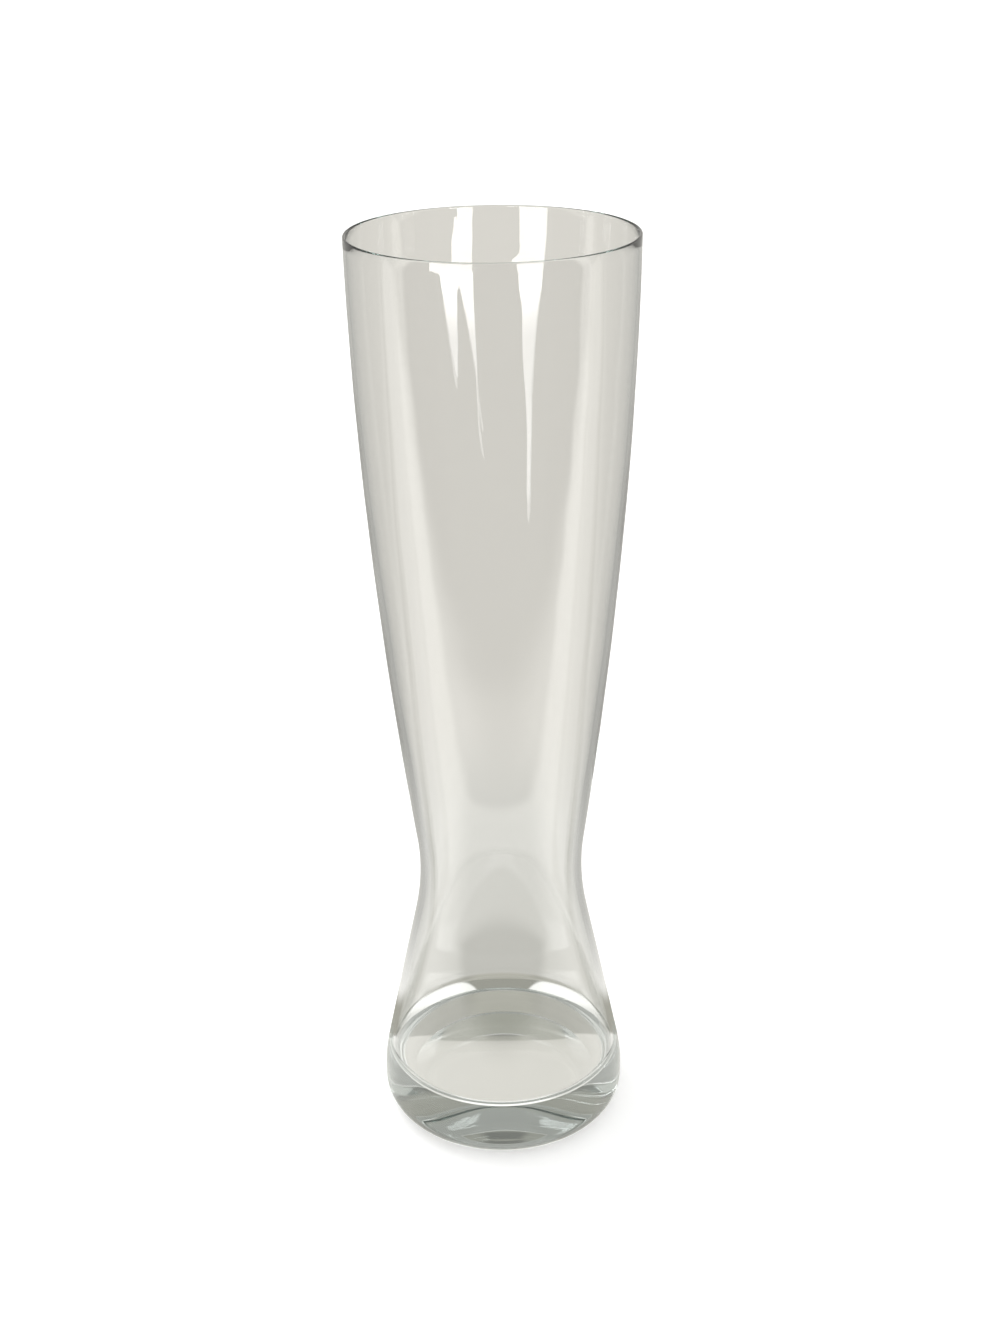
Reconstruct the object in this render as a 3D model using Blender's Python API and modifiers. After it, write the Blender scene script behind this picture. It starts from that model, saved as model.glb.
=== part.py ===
"""Pilsner glass: a tall flared bowl and a bell-shaped lower bowl, fused on a heavy base.

Metres, +Z up. The origin is the centre of the circle that the foot stands on, and +Z is the
axis that every piece is turned about. Outlines are lists of (radius, height) points.
"""

import math

import bpy
from mathutils import Vector
from mathutils.geometry import interpolate_bezier

# Overall sizes
HEIGHT = 0.2643
RIM_RADIUS = 0.038
BASE_RADIUS = 0.0362

# Outside of the glass: where its straight runs would meet, and how each corner is rounded.
# A lean is the outward change of radius for each metre of height.
WAIST_RADIUS = 0.0227
WAIST_HEIGHT = 0.0784
WAIST_ROUND = 0.0713
BOWL_LEAN_AT_WAIST = 0.1366
BOWL_LEAN_AT_RIM = 0.010
SHOULDER_HEIGHT = 0.0142
SHOULDER_ROUND = 0.0413
FOOT_ROUND = 0.0077

# Thickness of the glass
RIM_WALL = 0.0009
WAIST_WALL = 0.0022
LOWER_WALL = 0.0019
FLOOR_HEIGHT = 0.0161
FLOOR_ROUND = 0.0042

# Underside: a flat ring to stand on, round a shallow hollow.
# A hollow curve of 1 is a cone and 2 is a bowl.
FOOT_RING_WIDTH = 0.0011
HOLLOW_DEPTH = 0.0042
HOLLOW_CURVE = 1.6

# Clearance across each fused seam
SEAM_GAP = 0.0003

# Fineness of the turned shapes
TURN_STEPS = 64
BOWL_STEPS = 12
ARC_STEPS = 6
HOLLOW_STEPS = 8

GLASS_COLOUR = (0.93, 0.95, 0.93, 1.0)
GLASS_ROUGHNESS = 0.02
GLASS_IOR = 1.52


def point(radius, height):
    return Vector((radius, height))


def arc(middle, radius, start_angle, turn):
    """Points along part of a circle, with its two ends."""
    angles = [start_angle + turn * step / ARC_STEPS for step in range(ARC_STEPS + 1)]
    return [middle + radius * point(math.cos(a), math.sin(a)) for a in angles]


def rounded(before, corner, after, radius):
    """The arc of that radius that stands for the corner between two straight runs."""
    back = (before - corner).normalized()
    ahead = (after - corner).normalized()
    half_angle = back.angle(ahead) / 2
    middle = corner + (back + ahead).normalized() * (radius / math.sin(half_angle))
    reach = radius / math.tan(half_angle)
    start = corner + back * reach - middle
    turn = start.angle_signed(corner + ahead * reach - middle)
    return arc(middle, radius, math.atan2(start.y, start.x), -turn)


def bowl_run(rim, waist_top):
    """The long curve of the bowl, from the rim down to where the waist's rounding starts."""
    third = (rim.y - waist_top.y) / 3
    below_rim = rim - third * point(BOWL_LEAN_AT_RIM, 1)
    above_waist = waist_top + third * point(BOWL_LEAN_AT_WAIST, 1)
    return interpolate_bezier(rim, below_rim, above_waist, waist_top, BOWL_STEPS + 1)


def wall_outline(rim, waist, waist_round, below):
    """One side of the wall, from the rim down to the end of the waist's rounding."""
    turn = rounded(waist + point(BOWL_LEAN_AT_WAIST, 1), waist, below, waist_round)
    return bowl_run(rim, turn[0])[:-1] + turn


def crossing(outline, height):
    """The point where an outline that runs downwards crosses a height."""
    for upper, lower in zip(outline, outline[1:]):
        if upper.y >= height > lower.y:
            return upper.lerp(lower, (upper.y - height) / (upper.y - lower.y))
    raise ValueError(f"the outline doesn't reach the height {height}")


def above(outline, height):
    """The stretch of a downward outline from its top to a height."""
    return [p for p in outline if p.y > height] + [crossing(outline, height)]


def below(outline, height):
    """The stretch of a downward outline from a height to its end."""
    return [crossing(outline, height)] + [p for p in outline if p.y < height]


def outside_outline():
    """The outside from the rim to the ring that the foot stands on."""
    rim = point(RIM_RADIUS, HEIGHT - RIM_WALL / 2)
    waist = point(WAIST_RADIUS, WAIST_HEIGHT)
    shoulder = point(BASE_RADIUS, SHOULDER_HEIGHT)
    foot = point(BASE_RADIUS, 0)
    return (
        wall_outline(rim, waist, WAIST_ROUND, shoulder)
        + rounded(waist, shoulder, foot, SHOULDER_ROUND)
        + rounded(shoulder, foot, point(0, 0), FOOT_ROUND)
    )


def floor_corner_of(outside):
    """Where the inside of the wall would meet the floor with no rounding."""
    return point(crossing(outside, FLOOR_HEIGHT).x - LOWER_WALL, FLOOR_HEIGHT)


def inside_waist():
    return point(WAIST_RADIUS - WAIST_WALL, WAIST_HEIGHT)


def floor_rounding(floor_corner):
    return rounded(inside_waist(), floor_corner, point(0, FLOOR_HEIGHT), FLOOR_ROUND)


def inside_outline(floor_corner):
    """The inside from the rim to the edge of the flat floor."""
    rim = point(RIM_RADIUS - RIM_WALL, HEIGHT - RIM_WALL / 2)
    wall = wall_outline(rim, inside_waist(), WAIST_ROUND + WAIST_WALL, floor_corner)
    return wall + floor_rounding(floor_corner)


def hollow_outline(ring_inside):
    """The shallow hollow under the base, from its edge to its top on the axis."""
    outline = []
    for step in range(HOLLOW_STEPS + 1):
        share = 1 - step / HOLLOW_STEPS
        outline.append(point(share * ring_inside, HOLLOW_DEPTH * (1 - share**HOLLOW_CURVE)))
    return outline


def glass_material(name):
    material = bpy.data.materials.new(name)
    material.use_nodes = True
    shader = material.node_tree.nodes["Principled BSDF"]
    shader.inputs["Base Color"].default_value = GLASS_COLOUR
    shader.inputs["Roughness"].default_value = GLASS_ROUGHNESS
    shader.inputs["Metallic"].default_value = 0.0
    shader.inputs["IOR"].default_value = GLASS_IOR
    shader.inputs["Transmission Weight"].default_value = 1.0
    return material


def turned(name, profile, foot_height, closed, collection, axis):
    """A piece turned from a profile that runs down its outer side.

    The piece's own origin is on the axis at foot_height.
    """
    corners = [(p.x, 0.0, p.y - foot_height) for p in profile]
    edges = [(i, i + 1) for i in range(len(corners) - 1)]
    if closed:
        edges.append((len(corners) - 1, 0))
    mesh = bpy.data.meshes.new(name)
    mesh.from_pydata(corners, edges, [])
    mesh.materials.append(glass_material(name))
    piece = bpy.data.objects.new(name, mesh)
    piece.parent = axis
    piece.location.z = foot_height
    collection.objects.link(piece)
    screw = piece.modifiers.new("turn", "SCREW")
    screw.axis = "Z"
    screw.angle = math.tau
    screw.steps = TURN_STEPS
    screw.render_steps = TURN_STEPS
    screw.use_merge_vertices = True
    screw.merge_threshold = 0.00001
    screw.use_smooth_shade = True
    return piece


def upper_bowl_profile(outside, inside, seam):
    """The flared bowl above the waist, with a fire-polished round lip."""
    lip_middle = point(RIM_RADIUS - RIM_WALL / 2, HEIGHT - RIM_WALL / 2)
    lip = arc(lip_middle, RIM_WALL / 2, math.pi, -math.pi)[1:-1]
    return above(outside, seam) + above(inside, seam)[::-1] + lip


def lower_bowl_profile(outside, inside, top_seam, bottom_seam):
    """The bell-shaped wall between the waist and the base."""
    outer = above(below(outside, top_seam), bottom_seam)
    inner = above(below(inside, top_seam), bottom_seam)
    return outer + inner[::-1]


def base_profile(outside, inside, seam):
    """The solid base: the flat floor inside, the foot ring and the hollow underneath."""
    floor_middle = point(0, FLOOR_HEIGHT)
    floor = [floor_middle] + below(inside, seam)[::-1]
    ring_inside = BASE_RADIUS - FOOT_ROUND - FOOT_RING_WIDTH
    return floor + below(outside, seam) + hollow_outline(ring_inside)


def main():
    for old in list(bpy.data.objects):
        bpy.data.objects.remove(old)
    glass = bpy.data.collections.new("pilsner_glass")
    bpy.context.scene.collection.children.link(glass)
    axis = bpy.data.objects.new("glass_axis", None)
    glass.objects.link(axis)

    outside = outside_outline()
    floor_corner = floor_corner_of(outside)
    inside = inside_outline(floor_corner)
    half_gap = SEAM_GAP / 2
    waist_seam = WAIST_HEIGHT
    base_seam = floor_rounding(floor_corner)[0].y

    upper_bowl = upper_bowl_profile(outside, inside, waist_seam + half_gap)
    turned("upper_bowl", upper_bowl, waist_seam + half_gap, True, glass, axis)
    lower_bowl = lower_bowl_profile(
        outside, inside, waist_seam - half_gap, base_seam + half_gap
    )
    turned("lower_bowl", lower_bowl, base_seam + half_gap, True, glass, axis)
    base = base_profile(outside, inside, base_seam - half_gap)
    turned("base", base, 0.0, False, glass, axis)


main()
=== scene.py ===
"""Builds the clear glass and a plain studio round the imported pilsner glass.

Metres, +Z up, in the part's own frame: the origin is the centre of the circle that the foot
stands on. Outlines are lists of (radius, height) points.
"""

import math
from collections import namedtuple

import bmesh
import bpy
from bpy.props import FloatProperty, FloatVectorProperty, IntProperty, PointerProperty
from mathutils import Matrix, Vector, noise
from mathutils.geometry import interpolate_bezier


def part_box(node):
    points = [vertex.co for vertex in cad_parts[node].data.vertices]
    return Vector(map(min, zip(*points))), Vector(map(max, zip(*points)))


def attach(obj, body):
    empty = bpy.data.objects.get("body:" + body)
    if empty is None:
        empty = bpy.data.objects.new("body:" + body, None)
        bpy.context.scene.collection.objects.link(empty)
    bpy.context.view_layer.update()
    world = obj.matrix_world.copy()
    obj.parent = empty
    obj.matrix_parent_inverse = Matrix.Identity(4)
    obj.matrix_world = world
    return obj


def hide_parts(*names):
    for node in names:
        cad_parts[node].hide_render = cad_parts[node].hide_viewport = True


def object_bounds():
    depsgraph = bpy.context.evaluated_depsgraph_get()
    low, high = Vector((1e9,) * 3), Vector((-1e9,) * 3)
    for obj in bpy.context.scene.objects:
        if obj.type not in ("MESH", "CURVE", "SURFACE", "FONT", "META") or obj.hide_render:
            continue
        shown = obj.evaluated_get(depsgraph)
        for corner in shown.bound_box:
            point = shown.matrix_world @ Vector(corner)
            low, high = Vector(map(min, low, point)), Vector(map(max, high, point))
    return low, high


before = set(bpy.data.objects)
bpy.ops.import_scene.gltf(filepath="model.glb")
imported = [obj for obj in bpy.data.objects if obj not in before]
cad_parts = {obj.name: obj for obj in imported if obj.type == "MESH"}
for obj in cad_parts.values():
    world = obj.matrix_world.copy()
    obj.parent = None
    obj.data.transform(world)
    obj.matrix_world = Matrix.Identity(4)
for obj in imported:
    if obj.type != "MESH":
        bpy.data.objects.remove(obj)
CAD_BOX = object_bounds()
UPPER_BOWL_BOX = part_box("upper_bowl")
LOWER_BOWL_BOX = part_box("lower_bowl")
BASE_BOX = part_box("base")

bl_info = {
    "name": "Pilsner Glass",
    "version": (1, 0, 0),
    "blender": (4, 5, 0),
    "location": "View3D > Sidebar > Glass",
    "description": "Blows a clear pilsner glass on a heavy base and sets it in a plain studio",
    "category": "Add Mesh",
}


# Settings that a user would change


class GlassSizes(bpy.types.PropertyGroup):
    height: FloatProperty(
        name="Height",
        description="From the table to the rim",
        default=CAD_BOX[1].z,
        unit="LENGTH",
    )
    rim_radius: FloatProperty(
        name="Rim radius",
        description="Outside of the rim",
        default=UPPER_BOWL_BOX[1].x,
        unit="LENGTH",
    )
    base_radius: FloatProperty(
        name="Base radius",
        description="Widest part of the base",
        default=BASE_BOX[1].x,
        unit="LENGTH",
    )
    waist_height: FloatProperty(
        name="Waist height",
        description="Where the lower bowl turns into the upper bowl",
        default=(LOWER_BOWL_BOX[1].z + UPPER_BOWL_BOX[0].z) / 2,
        unit="LENGTH",
    )
    waist_radius: FloatProperty(
        name="Waist radius",
        description="Outside of the waist before it is rounded",
        default=0.0227,
        unit="LENGTH",
    )
    waist_round: FloatProperty(
        name="Waist rounding",
        description="Radius of the turn at the waist",
        default=0.0713,
        unit="LENGTH",
    )
    waist_lean: FloatProperty(
        name="Lean at the waist",
        description="Change of radius for each metre of height, just above the waist",
        default=0.1366,
    )
    rim_lean: FloatProperty(
        name="Lean at the rim",
        description="Change of radius for each metre of height, at the rim",
        default=0.010,
    )
    shoulder_height: FloatProperty(
        name="Shoulder height",
        description="Where the lower bowl turns into the base",
        default=0.0142,
        unit="LENGTH",
    )
    shoulder_round: FloatProperty(
        name="Shoulder rounding",
        description="Radius of the turn at the shoulder",
        default=0.0413,
        unit="LENGTH",
    )
    foot_round: FloatProperty(
        name="Foot rounding",
        description="Radius of the outer edge of the foot",
        default=0.0077,
        unit="LENGTH",
    )
    rim_wall: FloatProperty(
        name="Rim wall",
        description="Thickness of the glass at the rim",
        default=0.0009,
        unit="LENGTH",
    )
    waist_wall: FloatProperty(
        name="Waist wall",
        description="Thickness of the glass at the waist",
        default=0.0022,
        unit="LENGTH",
    )
    lower_wall: FloatProperty(
        name="Lower wall",
        description="Thickness of the glass just above the floor",
        default=0.0019,
        unit="LENGTH",
    )
    floor_height: FloatProperty(
        name="Floor height",
        description="Height of the floor inside the glass",
        default=0.0161,
        unit="LENGTH",
    )
    floor_round: FloatProperty(
        name="Floor rounding",
        description="Radius between the floor and the wall",
        default=0.0042,
        unit="LENGTH",
    )
    ring_width: FloatProperty(
        name="Foot ring width",
        description="Flat ring that the glass stands on",
        default=0.0011,
        unit="LENGTH",
    )
    ring_round: FloatProperty(
        name="Foot ring rounding",
        description="Radius of the ring's inner edge",
        default=0.0006,
        unit="LENGTH",
    )
    hollow_depth: FloatProperty(
        name="Hollow depth",
        description="Depth of the hollow under the base",
        default=0.0042,
        unit="LENGTH",
    )
    hollow_curve: FloatProperty(
        name="Hollow curve",
        description="Form of the hollow: 1 is a cone and 2 is a bowl",
        default=1.6,
        min=1.0,
    )
    unevenness: FloatProperty(
        name="Unevenness",
        description="How far the blown wall wavers in and out",
        default=0.00008,
        unit="LENGTH",
    )
    turn_steps: IntProperty(
        name="Turn steps",
        description="Facets round the glass",
        default=192,
        min=24,
    )


class GlassFinish(bpy.types.PropertyGroup):
    tint: FloatVectorProperty(
        name="Tint",
        description="Colour that thick glass leaves",
        default=(0.46, 0.53, 0.51),
        subtype="COLOR",
    )
    tint_strength: FloatProperty(
        name="Tint strength",
        description="Light taken for each metre of glass",
        default=9.0,
    )
    bend: FloatProperty(
        name="Refractive index",
        description="How much the glass bends light",
        default=1.52,
    )
    smudge_roughness: FloatProperty(
        name="Smudge roughness",
        description="Roughness where hands have smudged the bowl",
        default=0.03,
        subtype="FACTOR",
    )


class StudioSettings(bpy.types.PropertyGroup):
    table_colour: FloatVectorProperty(
        name="Table colour",
        description="Colour of the table top",
        default=(0.95, 0.95, 0.94),
        subtype="COLOR",
    )
    behind_glass: FloatVectorProperty(
        name="Behind the glass",
        description="Duller table that shows through the glass",
        default=(0.73, 0.71, 0.655),
        subtype="COLOR",
    )
    soft_light: FloatVectorProperty(
        name="Soft light",
        description="Light that comes from all round",
        default=(0.85, 0.85, 0.85),
        subtype="COLOR",
    )
    key_glow: FloatProperty(
        name="Key light",
        description="Brightness of the softbox, where 1 is white",
        default=2.4,
    )
    card_glow: FloatProperty(
        name="Card light",
        description="Brightness of the white cards that the glass mirrors",
        default=5.0,
    )
    focal_pixels: FloatProperty(
        name="Focal length",
        description="Lens in pixels of a picture 1333 high",
        default=1816.9,
    )
    camera_back: FloatProperty(
        name="Camera distance",
        description="Level distance from the glass's axis",
        default=0.4638,
        unit="LENGTH",
    )
    camera_height: FloatProperty(
        name="Camera height",
        description="Height above the table",
        default=0.3535,
        unit="LENGTH",
    )
    camera_aside: FloatProperty(
        name="Camera aside",
        description="Offset to the right of the axis",
        default=0.0005,
        unit="LENGTH",
    )
    camera_down: FloatProperty(
        name="Camera tilt",
        description="Angle below level",
        default=math.radians(24.345),
        subtype="ANGLE",
    )
    camera_roll: FloatProperty(
        name="Camera roll",
        description="Lean of the camera to the right",
        default=math.radians(0.739),
        subtype="ANGLE",
    )


# Outlines

# Fineness of each stretch
BOWL_POINTS = 72
WAIST_STEPS = 12
OUTER_LOWER_STEPS = 14
INNER_LOWER_STEPS = 12
SHOULDER_STEPS = 8
FOOT_STEPS = 16
FLOOR_CORNER_STEPS = 16
FLOOR_STEPS = 10
LIP_STEPS = 10
RING_EDGE_STEPS = 6
HOLLOW_STEPS = 24


def point(radius, height):
    return Vector((radius, height))


def arc(middle, radius, start_angle, turn, steps):
    """Points along part of a circle, with its two ends."""
    angles = [start_angle + turn * step / steps for step in range(steps + 1)]
    return [middle + radius * point(math.cos(a), math.sin(a)) for a in angles]


def rounded(before, corner, after, radius, steps):
    """The arc of that radius that stands for the corner between two straight runs."""
    back = (before - corner).normalized()
    ahead = (after - corner).normalized()
    half_angle = back.angle(ahead) / 2
    middle = corner + (back + ahead).normalized() * (radius / math.sin(half_angle))
    reach = radius / math.tan(half_angle)
    start = corner + back * reach - middle
    turn = start.angle_signed(corner + ahead * reach - middle)
    return arc(middle, radius, math.atan2(start.y, start.x), -turn, steps)


def straight(start, end, steps):
    """Evenly spaced points between two ends, without the ends."""
    return [start.lerp(end, step / steps) for step in range(1, steps)]


def crossing(outline, height):
    """The point where an outline that runs downwards crosses a height."""
    for upper, lower in zip(outline, outline[1:]):
        if upper.y >= height > lower.y:
            return upper.lerp(lower, (upper.y - height) / (upper.y - lower.y))
    raise ValueError(f"the outline doesn't reach the height {height}")


def bowl_side(sizes, rim, waist, waist_round, below):
    """One side of the wall, from the rim down to the end of the waist's rounding."""
    turn = rounded(waist + point(sizes.waist_lean, 1), waist, below, waist_round, WAIST_STEPS)
    third = (rim.y - turn[0].y) / 3
    below_rim = rim - third * point(sizes.rim_lean, 1)
    above_waist = turn[0] + third * point(sizes.waist_lean, 1)
    return interpolate_bezier(rim, below_rim, above_waist, turn[0], BOWL_POINTS)[:-1] + turn


def outside_outline(sizes):
    """The outside from the rim down to the ring that the foot stands on."""
    rim = point(sizes.rim_radius, sizes.height - sizes.rim_wall / 2)
    waist = point(sizes.waist_radius, sizes.waist_height)
    shoulder = point(sizes.base_radius, sizes.shoulder_height)
    foot = point(sizes.base_radius, 0)
    wall = bowl_side(sizes, rim, waist, sizes.waist_round, shoulder)
    turn = rounded(waist, shoulder, foot, sizes.shoulder_round, SHOULDER_STEPS)
    toe = rounded(shoulder, foot, point(0, 0), sizes.foot_round, FOOT_STEPS)
    return wall + straight(wall[-1], turn[0], OUTER_LOWER_STEPS) + turn + toe


def inside_outline(sizes, outside):
    """The inside from the rim down to the middle of the floor."""
    rim = point(sizes.rim_radius - sizes.rim_wall, sizes.height - sizes.rim_wall / 2)
    waist = point(sizes.waist_radius - sizes.waist_wall, sizes.waist_height)
    floor_edge = crossing(outside, sizes.floor_height).x - sizes.lower_wall
    corner = point(floor_edge, sizes.floor_height)
    middle = point(0, sizes.floor_height)
    wall = bowl_side(sizes, rim, waist, sizes.waist_round + sizes.waist_wall, corner)
    turn = rounded(waist, corner, middle, sizes.floor_round, FLOOR_CORNER_STEPS)
    lower = straight(wall[-1], turn[0], INNER_LOWER_STEPS)
    return wall + lower + turn + straight(turn[-1], middle, FLOOR_STEPS) + [middle]


def hollow_outline(sizes):
    """The shallow hollow under the base, from the foot ring to its top on the axis."""
    edge = sizes.base_radius - sizes.foot_round - sizes.ring_width
    shares = [1 - step / HOLLOW_STEPS for step in range(HOLLOW_STEPS + 1)]
    dome = [point(s * edge, sizes.hollow_depth * (1 - s**sizes.hollow_curve)) for s in shares]
    ring = point(edge + sizes.ring_width, 0)
    return rounded(ring, dome[0], dome[1], sizes.ring_round, RING_EDGE_STEPS) + dome[1:]


def glass_profile(sizes):
    """The whole section, from the middle of the floor over the rim to the middle of the hollow."""
    outside = outside_outline(sizes)
    inside = inside_outline(sizes, outside)
    half_wall = sizes.rim_wall / 2
    lip_middle = point(sizes.rim_radius - half_wall, sizes.height - half_wall)
    lip = arc(lip_middle, half_wall, math.pi, -math.pi, LIP_STEPS)[1:-1]
    return inside[::-1] + lip + outside + hollow_outline(sizes)


# Meshes

# The moulded base is even, and the wall wavers fully from a height on
EVEN_UP_TO = 0.02
WAVERS_FROM = 0.05
# Waves of the wall for each metre
WAVES_ROUND = 70
WAVES_UP = 55


def waver(place, unevenness):
    """How far the blown wall stands out or in at a place."""
    share = min(max((place.z - EVEN_UP_TO) / (WAVERS_FROM - EVEN_UP_TO), 0), 1)
    wave = Vector((place.x * WAVES_ROUND, place.y * WAVES_ROUND, place.z * WAVES_UP))
    return share * unevenness * noise.noise(wave)


def turned_mesh(name, profile, steps, unevenness):
    """A closed mesh turned about +Z from a profile that starts and ends on the axis."""
    mesh = bpy.data.meshes.new(name)
    shape = bmesh.new()
    start, end = [shape.verts.new((0, 0, p.y)) for p in (profile[0], profile[-1])]
    columns = []
    for step in range(steps):
        turn = Matrix.Rotation(math.tau * step / steps, 3, "Z")
        run = [shape.verts.new(turn @ Vector((p.x, 0, p.y))) for p in profile[1:-1]]
        columns.append([start, *run, end])
    for column, following in zip(columns, columns[1:] + columns[:1]):
        for corners in zip(column, column[1:], following[1:], following):
            # A corner on the axis comes twice, and is taken once
            shape.faces.new(dict.fromkeys(corners))
    bmesh.ops.recalc_face_normals(shape, faces=shape.faces)
    for corner in shape.verts:
        radius = math.hypot(corner.co.x, corner.co.y)
        if radius:
            corner.co.xy *= 1 + waver(corner.co, unevenness) / radius
    for face in shape.faces:
        face.smooth = True
    shape.to_mesh(mesh)
    shape.free()
    return mesh


def flat_mesh(name, corners):
    """A mesh of one face."""
    mesh = bpy.data.meshes.new(name)
    mesh.from_pydata(corners, [], [tuple(range(len(corners)))])
    return mesh


def show(name, mesh):
    piece = bpy.data.objects.new(name, mesh)
    bpy.context.scene.collection.objects.link(piece)
    return piece


# Shader nodes

# Sockets that a mix node uses for colours
MIX_FIRST = 6
MIX_SECOND = 7
MIX_RESULT = 2


class NodeMaker:
    """Adds the nodes of one material or world, and joins them."""

    def __init__(self, owner):
        owner.use_nodes = True
        self.nodes = owner.node_tree.nodes
        self.join = owner.node_tree.links.new

    def ray(self):
        """What is known of the ray that sees the surface."""
        return self.nodes.new("ShaderNodeLightPath").outputs

    def place(self, kind):
        """The X, Y and Z of the place that is seen."""
        where = self.nodes.new("ShaderNodeTexCoord")
        split = self.nodes.new("ShaderNodeSeparateXYZ")
        self.join(where.outputs[kind], split.inputs["Vector"])
        return split.outputs["X"], split.outputs["Y"], split.outputs["Z"]

    def distance(self):
        """How far the place is from the object's origin."""
        where = self.nodes.new("ShaderNodeTexCoord")
        node = self.nodes.new("ShaderNodeVectorMath")
        node.operation = "LENGTH"
        self.join(where.outputs["Object"], node.inputs[0])
        return node.outputs["Value"]

    def speckle(self, scale, detail):
        """Cloudy noise fixed to the object."""
        where = self.nodes.new("ShaderNodeTexCoord")
        node = self.nodes.new("ShaderNodeTexNoise")
        self.join(where.outputs["Object"], node.inputs["Vector"])
        node.inputs["Scale"].default_value = scale
        node.inputs["Detail"].default_value = detail
        return node.outputs["Fac"]

    def span(self, source, low, high, at_low=0.0, at_high=1.0):
        """A value that passes smoothly from one level to another as the source rises."""
        node = self.nodes.new("ShaderNodeMapRange")
        node.interpolation_type = "SMOOTHSTEP"
        self.join(source, node.inputs["Value"])
        node.inputs["From Min"].default_value = low
        node.inputs["From Max"].default_value = high
        node.inputs["To Min"].default_value = at_low
        node.inputs["To Max"].default_value = at_high
        return node.outputs["Result"]

    def until(self, source, low, high):
        """A value that falls smoothly from 1 to 0 as the source rises."""
        return self.span(source, low, high, 1.0, 0.0)

    def size(self, source):
        """A value without its sign."""
        node = self.nodes.new("ShaderNodeMath")
        node.operation = "ABSOLUTE"
        self.join(source, node.inputs[0])
        return node.outputs["Value"]

    def combine(self, operation, first, *others):
        """Values joined by a sum or a product."""
        for other in others:
            node = self.nodes.new("ShaderNodeMath")
            node.operation = operation
            self.join(first, node.inputs[0])
            self.join(other, node.inputs[1])
            first = node.outputs["Value"]
        return first

    def choose(self, test, if_one, if_zero):
        """A mix of two colours by a test value that is 0 or 1 or between them."""
        node = self.nodes.new("ShaderNodeMix")
        node.data_type = "RGBA"
        self.join(test, node.inputs["Factor"])
        for index, value in ((MIX_FIRST, if_zero), (MIX_SECOND, if_one)):
            if isinstance(value, tuple):
                node.inputs[index].default_value = value
            else:
                self.join(value, node.inputs[index])
        return node.outputs[MIX_RESULT]


def new_material(name):
    """A material, its node maker and its shader."""
    material = bpy.data.materials.new(name)
    make = NodeMaker(material)
    return material, make, make.nodes["Principled BSDF"]


# Glass

SMUDGE_SCALE = 48
SMUDGE_DETAIL = 5
SMUDGE_EDGE = (0.56, 0.80)
SMUDGES_FROM = (0.04, 0.07)


def clear_glass(finish):
    """Clear soda-lime glass, grey-green where it is thick, with faint smudges from handling."""
    material, make, shader = new_material("clear_glass")
    shader.inputs["Base Color"].default_value = (1, 1, 1, 1)
    shader.inputs["IOR"].default_value = finish.bend
    shader.inputs["Transmission Weight"].default_value = 1.0
    height = make.place("Object")[2]
    cloud = make.speckle(SMUDGE_SCALE, SMUDGE_DETAIL)
    smudges = make.span(cloud, *SMUDGE_EDGE, 0.0, finish.smudge_roughness)
    on_bowl = make.span(height, *SMUDGES_FROM)
    make.join(make.combine("MULTIPLY", smudges, on_bowl), shader.inputs["Roughness"])
    body = make.nodes.new("ShaderNodeVolumeAbsorption")
    body.inputs["Color"].default_value = (*finish.tint, 1)
    body.inputs["Density"].default_value = finish.tint_strength
    make.join(body.outputs["Volume"], make.nodes["Material Output"].inputs["Volume"])
    return material


class PILSNER_OT_blow_glass(bpy.types.Operator):
    """Turn the seamless glass from its section and give it its finish"""

    bl_idname = "pilsner.blow_glass"
    bl_label = "Blow Glass"

    def execute(self, context):
        sizes = context.scene.glass_sizes
        mesh = turned_mesh("glass_body", glass_profile(sizes), sizes.turn_steps, sizes.unevenness)
        mesh.materials.append(clear_glass(context.scene.glass_finish))
        body = show("glass_body", mesh)
        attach(body, "root")
        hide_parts("upper_bowl", "lower_bowl", "base")
        return {"FINISHED"}


# Table: the painted light and shade that it glows with for rays from the glass, and the metres over
# which one tone gives way to the next

BLACK = (0, 0, 0, 1)
WHITE = (1, 1, 1, 1)
ROOM_IN_FRONT = (0.08, 0.08, 0.08, 1)

# Added for the camera alone, so that the lit paint reads white
TABLE_LIFT = (0.36, 0.36, 0.36, 1)

# Glow that stands in for the lit table, for rays from the glass alone
TABLE_UNDER = (0.73, 0.712, 0.65, 1)
# Painted shadow of the glass on the table just behind it
PAINTED_SHADOW_BEHIND_GLASS = (0.60, 0.595, 0.55, 1)
TABLE_BESIDE = (0.74, 0.73, 0.68, 1)
# Painted shade that the base throws behind it, lighter in the middle
TABLE_IN_SHADE = (0.39, 0.385, 0.335, 1)
TABLE_HALF_SHADE = (0.51, 0.503, 0.437, 1)
# Painted contact shadow right behind the foot
PAINTED_FOOT_SHADOW = (0.2, 0.2, 0.18, 1)
# Painted light on the table under the base, weaker further aside
PAINTED_LIGHT_UNDER_BASE = (1.25, 1.24, 1.19, 1)
TABLE_PALE = (0.85, 0.84, 0.79, 1)
# Painted light beside the glass, brighter than the lit paint
PAINTED_LIGHT_LEFT = (1.45, 1.44, 1.39, 1)
PAINTED_LIGHT_RIGHT = (1.3, 1.29, 1.23, 1)
TABLE_BEHIND = (0.70, 0.69, 0.65, 1)
# Painted shade behind the glass for rays that have already passed through glass
TABLE_AT_EDGE = (0.35, 0.35, 0.33, 1)

# Seen through the glass
BESIDE_FROM = (0.014, 0.034)
FAR_FROM = (0.15, 0.27)
UNDER_BASE_TO = (0.030, 0.060)
SHADE_FROM = (0.0178, 0.0192)
SHADE_TO = (0.046, 0.060)
SHADE_SIDES = (0.029, 0.033)
HALF_SHADE_TO = (0.007, 0.013)
# Over which metres aside the shade's front edge comes forward, and from how much to how much
SHADE_BOW = (0, 0.022, 0, 0.0033)

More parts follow.
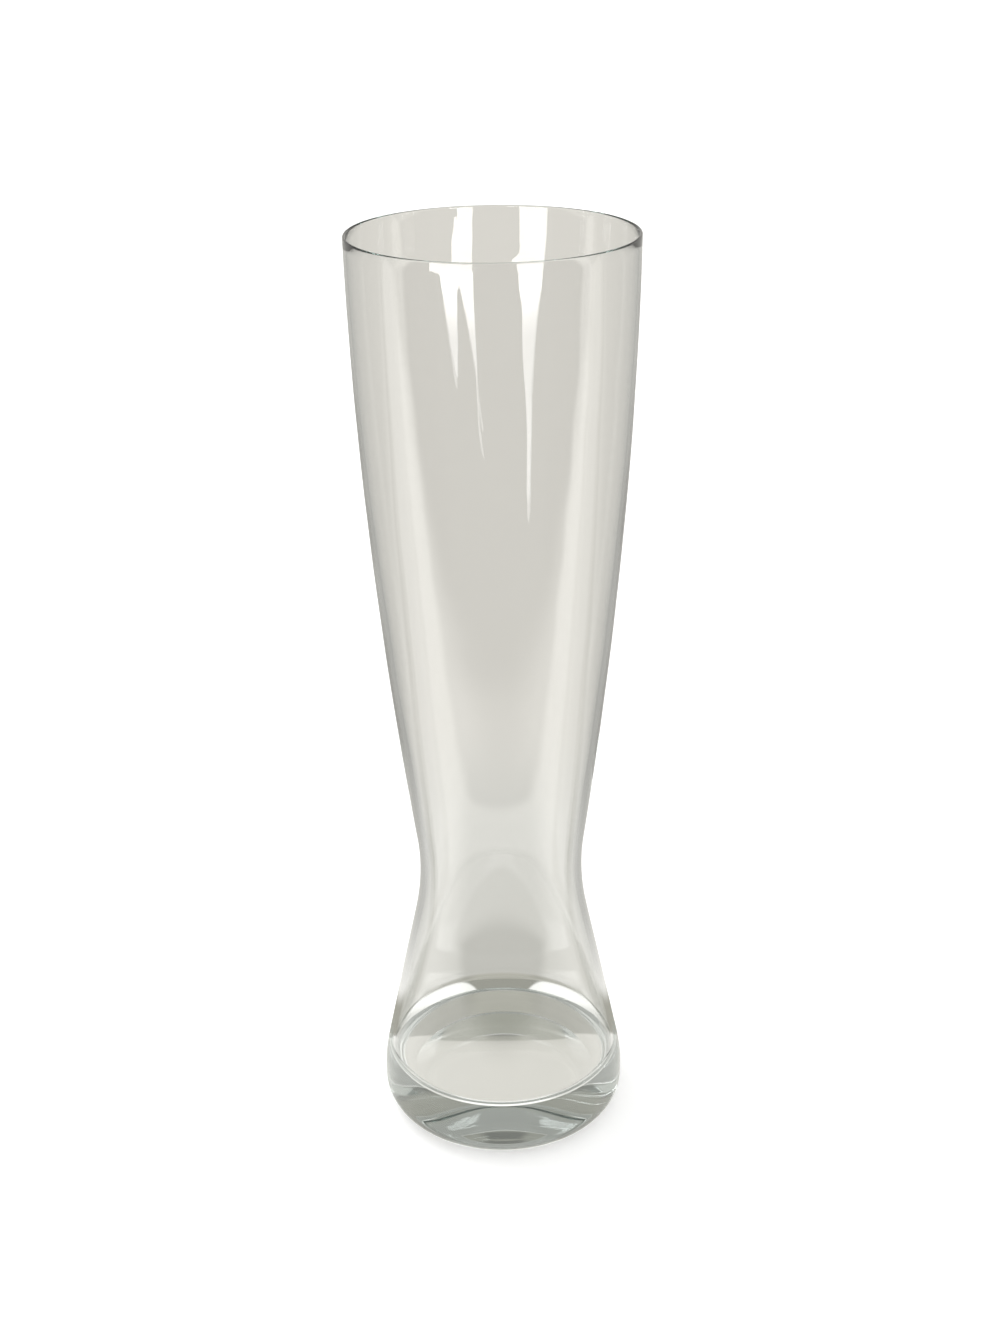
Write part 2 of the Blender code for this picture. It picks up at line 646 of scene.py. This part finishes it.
# Mirrored in the glass
LEFT_TO_RIGHT = (-0.15, 0.15)
FRONT_TO_TABLE = (-0.26, -0.15)
TABLE_TO_BACK = (-0.05, 0.15)
PALE_FROM = (0.013, 0.019)
BRIGHT_FROM = (0.018, 0.022)
MIRRORED_UNDER_TO = (0.040, 0.075)
MIRRORED_SHADE_FROM = (0.0265, 0.029)
FOOT_SHADE_FROM = (0.0355, 0.0385)
FOOT_SHADE_TO = (0.0425, 0.046)
FOOT_SHADE_SIDES = (0.006, 0.010)
# The same for the mirrored shade, which reaches forward in the middle
MIRRORED_SHADE_TONGUE = (0.003, 0.006, 0.008, 0)

PAINT_SCALE = 30
PAINT_DETAIL = 4
PAINT_EDGE = (0.3, 0.7)
PAINT_ROUGHNESS = (0.8, 0.95)
PAINT_SHINE = 0.1

TABLE_ASIDE = 6.0
TABLE_FRONT = -6.0
TABLE_BACK = 8.0
TABLE_DROP = 0.0001

# A place on the table: right and back of the axis, how far aside either way, and from the axis
TableSpot = namedtuple("TableSpot", "x y aside away")


def table_spot(make):
    x, y, _ = make.place("Object")
    return TableSpot(x, y, make.size(x), make.distance())


def table_seen_through(make, spot, far):
    """Painted tones of the table as it shows through the glass: a painted shadow of the glass just
    behind it, and the painted shade that the base throws behind it.
    """
    # Painted shadow of the glass in the middle behind it, plain glow beside it
    near = make.choose(make.span(spot.aside, *BESIDE_FROM), TABLE_BESIDE, PAINTED_SHADOW_BEHIND_GLASS)
    tone = make.choose(make.span(spot.away, *FAR_FROM), far, near)
    tone = make.choose(make.span(spot.away, *UNDER_BASE_TO), tone, TABLE_UNDER)
    # Painted shade behind the base, its front edge bowed forward at the sides and lighter in the
    # middle
    bowed = make.combine("ADD", spot.y, make.span(spot.aside, *SHADE_BOW))
    shade = make.combine(
        "MULTIPLY",
        make.span(bowed, *SHADE_FROM),
        make.until(spot.y, *SHADE_TO),
        make.until(spot.aside, *SHADE_SIDES),
    )
    dim = make.choose(make.span(spot.aside, *HALF_SHADE_TO), TABLE_IN_SHADE, TABLE_HALF_SHADE)
    return make.choose(shade, dim, tone)


def table_mirrored(make, spot, passes):
    """Painted tones of the table as the glass mirrors it: painted light at the sides and under the
    base, painted shade far in front, behind the base and at the foot, and darker behind for rays
    that have passed through glass.
    """
    # Painted shade behind for rays that have already passed through glass
    back = make.choose(passes, TABLE_AT_EDGE, TABLE_BEHIND)
    # Painted light beside the glass, stronger on the left
    sides = make.choose(make.span(spot.x, *LEFT_TO_RIGHT), PAINTED_LIGHT_RIGHT, PAINTED_LIGHT_LEFT)
    # Painted dark far in front, like the dim room there
    sides = make.choose(make.span(spot.y, *FRONT_TO_TABLE), sides, ROOM_IN_FRONT)
    tone = make.choose(make.span(spot.y, *TABLE_TO_BACK), back, sides)
    # Painted light in a ring under the base, with painted shade right under its middle
    bright = make.choose(make.span(spot.aside, *PALE_FROM), TABLE_PALE, PAINTED_LIGHT_UNDER_BASE)
    under = make.choose(make.span(spot.away, *BRIGHT_FROM), bright, TABLE_IN_SHADE)
    tone = make.choose(make.span(spot.away, *MIRRORED_UNDER_TO), tone, under)
    # Painted shade behind the base, reaching forward in the middle
    tongued = make.combine("ADD", spot.y, make.span(spot.aside, *MIRRORED_SHADE_TONGUE))
    shade = make.combine(
        "MULTIPLY",
        make.span(tongued, *MIRRORED_SHADE_FROM),
        make.until(spot.y, *SHADE_TO),
    )
    tone = make.choose(shade, TABLE_IN_SHADE, tone)
    # Painted contact shadow right behind the foot
    contact = make.combine(
        "MULTIPLY",
        make.span(spot.y, *FOOT_SHADE_FROM),
        make.until(spot.y, *FOOT_SHADE_TO),
        make.until(spot.aside, *FOOT_SHADE_SIDES),
    )
    return make.choose(contact, PAINTED_FOOT_SHADOW, tone)


def table_paint_and_painted_light(studio):
    """Pale matt paint that reads white to the camera; for rays from the glass it turns black and
    glows instead with painted light and shade.
    """
    material, make, shader = new_material("table_paint_and_painted_light")
    ray = make.ray()
    spot = table_spot(make)
    through = table_seen_through(make, spot, (*studio.behind_glass, 1))
    mirrored = table_mirrored(make, spot, ray["Transmission Depth"])
    # Painted light and shade that only rays from the glass see, glowing in place of lit paint
    shown = make.choose(ray["Glossy Depth"], mirrored, through)
    glow = make.choose(ray["Is Glossy Ray"], shown, BLACK)
    glow = make.choose(ray["Is Camera Ray"], TABLE_LIFT, glow)
    make.join(glow, shader.inputs["Emission Color"])
    shader.inputs["Emission Strength"].default_value = 1.0
    paint = make.choose(ray["Is Glossy Ray"], BLACK, (*studio.table_colour, 1))
    make.join(paint, shader.inputs["Base Color"])
    cloud = make.speckle(PAINT_SCALE, PAINT_DETAIL)
    make.join(make.span(cloud, *PAINT_EDGE, *PAINT_ROUGHNESS), shader.inputs["Roughness"])
    shader.inputs["Specular IOR Level"].default_value = PAINT_SHINE
    material.cycles.emission_sampling = "NONE"
    return material


def add_table(studio):
    corners = [
        (-TABLE_ASIDE, TABLE_FRONT, 0),
        (TABLE_ASIDE, TABLE_FRONT, 0),
        (TABLE_ASIDE, TABLE_BACK, 0),
        (-TABLE_ASIDE, TABLE_BACK, 0),
    ]
    mesh = flat_mesh("table_top", corners)
    mesh.materials.append(table_paint_and_painted_light(studio))
    table = show("table_top", mesh)
    table.location.z = -TABLE_DROP


# Cut white cards that the glass mirrors as streaks

CARD_DISTANCE = 0.5
CARD_LIFT = 0.0004
MILLIMETRE = 0.001

# Standing cards, as degrees to the right of the camera and heights in millimetres
LEFT_CARD = (
    (-47, 450), (-47, 175), (-39, 150), (-30, 67), (-28.6, 64), (-26, 138), (-24.5, 143),
    (-23, 139), (-19.3, 118), (-14.4, 74), (-13, 36), (-10.4, 20), (-8.8, 18), (-11.5, 36),
    (-13, 55), (-14, 160), (-23, 165), (-23, 450),
)
RIGHT_CARD = (
    (16.3, 450), (16.3, 200), (18.4, 140), (20.1, 131), (21.2, 118), (22.3, 80), (24, 54),
    (26, 0), (28.9, 0), (28.9, 54), (32.5, 110), (35.7, 142), (36, 160), (35.8, 168),
    (30, 190), (30, 450),
)
LEFT_CARD_TOP = ((-23.2, 450), (-23.2, 160), (-14.0, 160), (-14.0, 450))
RIGHT_CARD_TOP = ((29.8, 450), (29.8, 160), (36.0, 160), (36.3, 450))
# A card on the table, as degrees to the right of the camera and millimetres from the axis
RIGHT_CARD_TAIL = ((25.8, 503), (28.9, 503), (28.9, 455), (27.2, 415), (26, 440))

# Passes through glass up to which a card still shows, and its light low down and high up
CARD_PASSES = 2
CARD_TOP_PASSES = 0
CARD_GLOW_RISES = (0.10, 0.16)
CARD_GLOW_LOW = 0.68
CARD_GLOW_HIGH = 2.0


def card_light(name, glow, passes):
    """White light, weaker towards the table, that shows only up to so many passes through glass."""
    material = bpy.data.materials.new(name)
    make = NodeMaker(material)
    make.nodes.clear()
    height = make.place("Object")[2]
    light = make.nodes.new("ShaderNodeEmission")
    strength = make.span(height, *CARD_GLOW_RISES, CARD_GLOW_LOW * glow, CARD_GLOW_HIGH * glow)
    make.join(strength, light.inputs["Strength"])
    clear = make.nodes.new("ShaderNodeBsdfTransparent")
    pick = make.nodes.new("ShaderNodeMixShader")
    hidden = make.span(make.ray()["Transmission Depth"], passes, passes + 1)
    make.join(hidden, pick.inputs["Fac"])
    make.join(light.outputs["Emission"], pick.inputs[1])
    make.join(clear.outputs["BSDF"], pick.inputs[2])
    surface = make.nodes.new("ShaderNodeOutputMaterial")
    make.join(pick.outputs["Shader"], surface.inputs["Surface"])
    material.cycles.emission_sampling = "NONE"
    return material


def place_round(degrees, away, height):
    """A place at an angle to the right of the camera, as seen from the axis."""
    turn = math.radians(degrees)
    return (away * math.sin(turn), -away * math.cos(turn), height)


def standing(outline):
    """Corners of a card that stands round the glass."""
    return [place_round(turn, CARD_DISTANCE, height * MILLIMETRE) for turn, height in outline]


def lying(outline):
    """Corners of a card that lies on the table in front of the glass."""
    return [place_round(turn, away * MILLIMETRE, CARD_LIFT) for turn, away in outline]


def add_card(name, corners, material):
    mesh = flat_mesh(name, corners)
    mesh.materials.append(material)
    card = show(name, mesh)
    card.visible_camera = False
    card.visible_diffuse = False
    card.visible_shadow = False


def add_cards(studio):
    light = card_light("card_light", studio.card_glow, CARD_PASSES)
    add_card("left_card", standing(LEFT_CARD), light)
    add_card("right_card", standing(RIGHT_CARD), light)
    add_card("right_card_tail", lying(RIGHT_CARD_TAIL), light)
    top_light = card_light("card_top_light", studio.card_glow, CARD_TOP_PASSES)
    add_card("left_card_top", standing(LEFT_CARD_TOP), top_light)
    add_card("right_card_top", standing(RIGHT_CARD_TOP), top_light)


# Room: its tones as the glass shows them, and where one gives way to the next on a unit sphere

SEEN_THROUGH = (0.76, 0.74, 0.69, 1)
ROOM_BEHIND = (0.85, 0.83, 0.79, 1)
ROOM_HIGH = (0.44, 0.445, 0.415, 1)
ROOM_TOP = (0.45, 0.45, 0.385, 1)
ROOM_LEFT = (0.95, 0.95, 0.91, 1)
ROOM_RIGHT = (1.45, 1.44, 1.38, 1)

BACK_HIGH_FROM = (0.12, 0.40)
BACK_TOP_FROM = (0.70, 0.80)
SIDES_HIGH_FROM = (0.45, 0.65)
FRONT_HIGH_FROM = (0.02, 0.20)
ROOM_LEFT_TO_RIGHT = (-0.2, 0.2)
SIDES_FROM = (0.55, 0.80)
FRONT_TO_BACK = (-0.35, 0.05)
# Mirrorings after which the room's parts can't be told apart
MANY_MIRRORINGS = (5, 8)


def studio_world(studio):
    """Soft light all round: white to the camera, pale behind clear glass, dim in front of it."""
    world = bpy.data.worlds.new("studio")
    make = NodeMaker(world)
    ray = make.ray()
    x, y, height = make.place("Generated")
    back = make.choose(make.span(height, *BACK_HIGH_FROM), ROOM_HIGH, ROOM_BEHIND)
    back = make.choose(make.span(height, *BACK_TOP_FROM), ROOM_TOP, back)
    sides = make.choose(make.span(x, *ROOM_LEFT_TO_RIGHT), ROOM_RIGHT, ROOM_LEFT)
    sides = make.choose(make.span(height, *SIDES_HIGH_FROM), ROOM_HIGH, sides)
    front = make.choose(make.span(height, *FRONT_HIGH_FROM), ROOM_HIGH, ROOM_IN_FRONT)
    room = make.choose(make.span(make.size(x), *SIDES_FROM), sides, back)
    room = make.choose(make.span(y, *FRONT_TO_BACK), room, front)
    room = make.choose(make.span(ray["Glossy Depth"], *MANY_MIRRORINGS), ROOM_HIGH, room)
    level = make.choose(ray["Glossy Depth"], room, SEEN_THROUGH)
    level = make.choose(ray["Is Glossy Ray"], level, (*studio.soft_light, 1))
    level = make.choose(ray["Is Camera Ray"], WHITE, level)
    make.join(level, make.nodes["Background"].inputs["Color"])
    bpy.context.scene.world = world


# Lamp and camera

KEY_PLACE = Vector((-0.9, 0.7, 1.4))
KEY_AIM = Vector((0, 0, 0.13))
KEY_SIDE = 1.0
SENSOR = 36.0
PICTURE_HEIGHT = 1333


def add_key_light(studio):
    """A square softbox that faces the glass."""
    light = bpy.data.lights.new("key_light", "AREA")
    light.shape = "RECTANGLE"
    light.size = KEY_SIDE
    light.size_y = KEY_SIDE
    light.energy = studio.key_glow * math.pi * KEY_SIDE**2
    softbox = bpy.data.objects.new("key_light", light)
    bpy.context.scene.collection.objects.link(softbox)
    softbox.location = KEY_PLACE
    softbox.rotation_euler = (KEY_AIM - KEY_PLACE).to_track_quat("-Z", "Y").to_euler()
    softbox.visible_camera = False
    softbox.visible_glossy = False
    softbox.visible_transmission = False


def add_camera(studio):
    camera = bpy.data.objects.new("camera", bpy.data.cameras.new("camera"))
    bpy.context.scene.collection.objects.link(camera)
    camera.data.sensor_width = SENSOR
    camera.data.lens = studio.focal_pixels * SENSOR / PICTURE_HEIGHT
    place = Matrix.Translation((studio.camera_aside, -studio.camera_back, studio.camera_height))
    tilt = Matrix.Rotation(math.pi / 2 - studio.camera_down, 4, "X")
    camera.matrix_world = place @ tilt @ Matrix.Rotation(-studio.camera_roll, 4, "Z")
    bpy.context.scene.camera = camera


# Light that runs up inside the wall is mirrored many times before it leaves the glass
MOST_BOUNCES = 128
MOST_PASSES = 24
MOST_MIRRORINGS = 112


class PILSNER_OT_set_studio(bpy.types.Operator):
    """Lay the pale table, hang the soft lights and place the camera"""

    bl_idname = "pilsner.set_studio"
    bl_label = "Set Studio"

    def execute(self, context):
        scene = context.scene
        studio = scene.pilsner_studio
        add_table(studio)
        add_key_light(studio)
        add_cards(studio)
        studio_world(studio)
        add_camera(studio)
        scene.view_settings.view_transform = "Standard"
        scene.cycles.max_bounces = MOST_BOUNCES
        scene.cycles.transmission_bounces = MOST_PASSES
        scene.cycles.glossy_bounces = MOST_MIRRORINGS
        return {"FINISHED"}


class PILSNER_PT_sidebar(bpy.types.Panel):
    """Lists the glass's steps and its settings"""

    bl_idname = "PILSNER_PT_sidebar"
    bl_label = "Pilsner Glass"
    bl_space_type = "VIEW_3D"
    bl_region_type = "UI"
    bl_category = "Glass"

    def draw(self, context):
        scene = context.scene
        for operator, settings in (
            (PILSNER_OT_blow_glass, (scene.glass_sizes, scene.glass_finish)),
            (PILSNER_OT_set_studio, (scene.pilsner_studio,)),
        ):
            box = self.layout.box()
            box.operator(operator.bl_idname)
            for group in settings:
                for name in group.__annotations__:
                    box.prop(group, name)


CLASSES = (
    GlassSizes,
    GlassFinish,
    StudioSettings,
    PILSNER_OT_blow_glass,
    PILSNER_OT_set_studio,
    PILSNER_PT_sidebar,
)


def register():
    for item in CLASSES:
        bpy.utils.register_class(item)
    bpy.types.Scene.glass_sizes = PointerProperty(type=GlassSizes)
    bpy.types.Scene.glass_finish = PointerProperty(type=GlassFinish)
    bpy.types.Scene.pilsner_studio = PointerProperty(type=StudioSettings)


def unregister():
    del bpy.types.Scene.pilsner_studio
    del bpy.types.Scene.glass_finish
    del bpy.types.Scene.glass_sizes
    for item in reversed(CLASSES):
        bpy.utils.unregister_class(item)


def main():
    register()
    bpy.ops.pilsner.blow_glass()
    bpy.ops.pilsner.set_studio()


if __name__ == "__main__":
    main()
